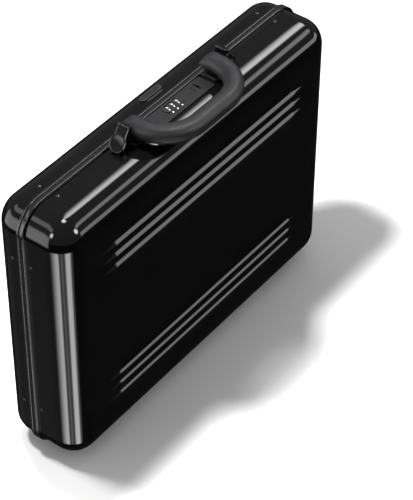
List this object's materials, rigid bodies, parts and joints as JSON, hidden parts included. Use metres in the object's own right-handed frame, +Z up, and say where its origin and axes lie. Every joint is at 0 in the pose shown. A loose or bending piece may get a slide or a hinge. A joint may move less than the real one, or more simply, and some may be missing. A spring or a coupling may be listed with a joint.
{
  "type": "attache case",
  "caption": "Black aluminium attache case standing on its hinge side, with beaded shells, a folding handle, two flip latches, a dial and key lock and a furnished lid.",
  "frame": {"origin": "centre of the case's footprint, on the plane that its four feet rest on", "axes": "+X along the case's length, +Y from the handle half towards the lid, +Z up to the handle"},
  "size_m": [0.4632, 0.1174, 0.3739],
  "materials": {
    "shell_black": "gloss black lacquer over aluminium",
    "frame_trim": "satin dark-anodised extrusion with bright edge",
    "rubber_black": "matt",
    "lining": "fine grained leatherette",
    "lining_pad": "padded woven cloth",
    "pocket_cloth": "woven nylon",
    "elastic": "ribbed elastic",
    "rivet_dark": "gloss",
    "steel": "zinc plated",
    "console_gray": "fine satin",
    "bezel_satin": "satin chrome",
    "marker_white": "printed white",
    "dark_metal": "satin black",
    "grip_plastic": "matt soft-touch",
    "latch_gloss": "gloss black with a bright bevel",
    "chrome": "polished",
    "dial_plastic": "black with white numbers",
    "lock_black": "gloss"
  },
  "bodies": {
    "base": {"base_shell": "shell_black", "base_frame": "frame_trim", "gasket": "rubber_black", "base_lining": "lining", "base_pad": "lining_pad", "base_rivets": "rivet_dark", "base_feet": "rubber_black", "hinge_leaf_base": "steel", "hinge_pin": "steel", "hinge_rivets_base": "steel", "lock_console": "console_gray", "dial_bezel": "bezel_satin", "dial_markers": "marker_white", "lock_case": "dark_metal", "dial_shaft": "steel", "handle_bracket_left": "dark_metal", "handle_bracket_right": "dark_metal", "handle_pin_left": "steel", "handle_pin_right": "steel", "latch_housing_left": "dark_metal", "latch_housing_right": "dark_metal", "latch_catch_left": "steel", "latch_catch_right": "steel", "latch_pin_left": "chrome", "latch_pin_right": "chrome", "stay_pivot_left": "steel", "stay_pivot_right": "steel"},
    "lid": {"lid_shell": "shell_black", "lid_frame": "frame_trim", "lid_lining": "lining", "lid_rivets": "rivet_dark", "lid_feet": "rubber_black", "hinge_leaf_lid": "steel", "hinge_rivets_lid": "steel", "badge": "bezel_satin", "stay_stud_left": "steel", "stay_stud_right": "steel", "organizer_panel": "lining_pad", "file_pocket": "pocket_cloth", "card_pocket": "pocket_cloth", "pen_loops": "elastic"},
    "handle": {"handle_grip": "grip_plastic", "handle_core": "steel"},
    "lever_left": {"latch_lever_left": "latch_gloss"},
    "lever_right": {"latch_lever_right": "latch_gloss"},
    "stay_left": {"stay_arm_left": "steel"},
    "stay_right": {"stay_arm_right": "steel"},
    "dial_1": {"dial_1": "dial_plastic"},
    "dial_2": {"dial_2": "dial_plastic"},
    "dial_3": {"dial_3": "dial_plastic"},
    "key": {"key_cylinder": "lock_black"},
    "slider": {"lock_slider": "lock_black"}
  },
  "joints": [
    {"name": "lid_open", "type": "hinge", "parent": "base", "child": "lid", "pos_m": [0, 0.0163, 0.0059], "axis": [-1, 0, 0], "range_deg": [0, 95]},
    {"name": "handle_fold", "type": "hinge", "parent": "base", "child": "handle", "pos_m": [0, 0.0023, 0.3615], "axis": [-1, 0, 0], "range_deg": [0, 90]},
    {"name": "latch_left", "type": "hinge", "parent": "base", "child": "lever_left", "pos_m": [-0.0815, 0.0013, 0.3715], "axis": [0, 1, 0], "range_deg": [0, 105]},
    {"name": "latch_right", "type": "hinge", "parent": "base", "child": "lever_right", "pos_m": [0.0815, 0.0013, 0.3715], "axis": [0, -1, 0], "range_deg": [0, 105]},
    {"name": "stay_left_swing", "type": "hinge", "parent": "base", "child": "stay_left", "pos_m": [-0.21055, 0.00775, 0.0357], "axis": [-1, 0, 0], "range_deg": [0, 95]},
    {"name": "stay_right_swing", "type": "hinge", "parent": "base", "child": "stay_right", "pos_m": [0.21055, 0.00775, 0.0357], "axis": [-1, 0, 0], "range_deg": [0, 95]},
    {"name": "dial_1_turn", "type": "hinge", "parent": "base", "child": "dial_1", "pos_m": [-0.0109, 0.0023, 0.3426], "axis": [1, 0, 0], "continuous": true},
    {"name": "dial_2_turn", "type": "hinge", "parent": "base", "child": "dial_2", "pos_m": [-0.0032, 0.0023, 0.3426], "axis": [1, 0, 0], "continuous": true},
    {"name": "dial_3_turn", "type": "hinge", "parent": "base", "child": "dial_3", "pos_m": [0.0045, 0.0023, 0.3426], "axis": [1, 0, 0], "continuous": true},
    {"name": "key_turn", "type": "hinge", "parent": "base", "child": "key", "pos_m": [0.031, 0.0017, 0.3455], "axis": [0, 0, 1], "range_deg": [0, 90]},
    {"name": "slider_travel", "type": "slide", "parent": "base", "child": "slider", "axis": [0, -1, 0], "range_m": [0, 0.005], "stiffness_N_per_m": 150, "springref_m": -0.002}
  ],
  "couplings": [
    {"joint": "stay_left_swing", "follows": "lid_open", "ratio": 1},
    {"joint": "stay_right_swing", "follows": "lid_open", "ratio": 1}
  ]
}
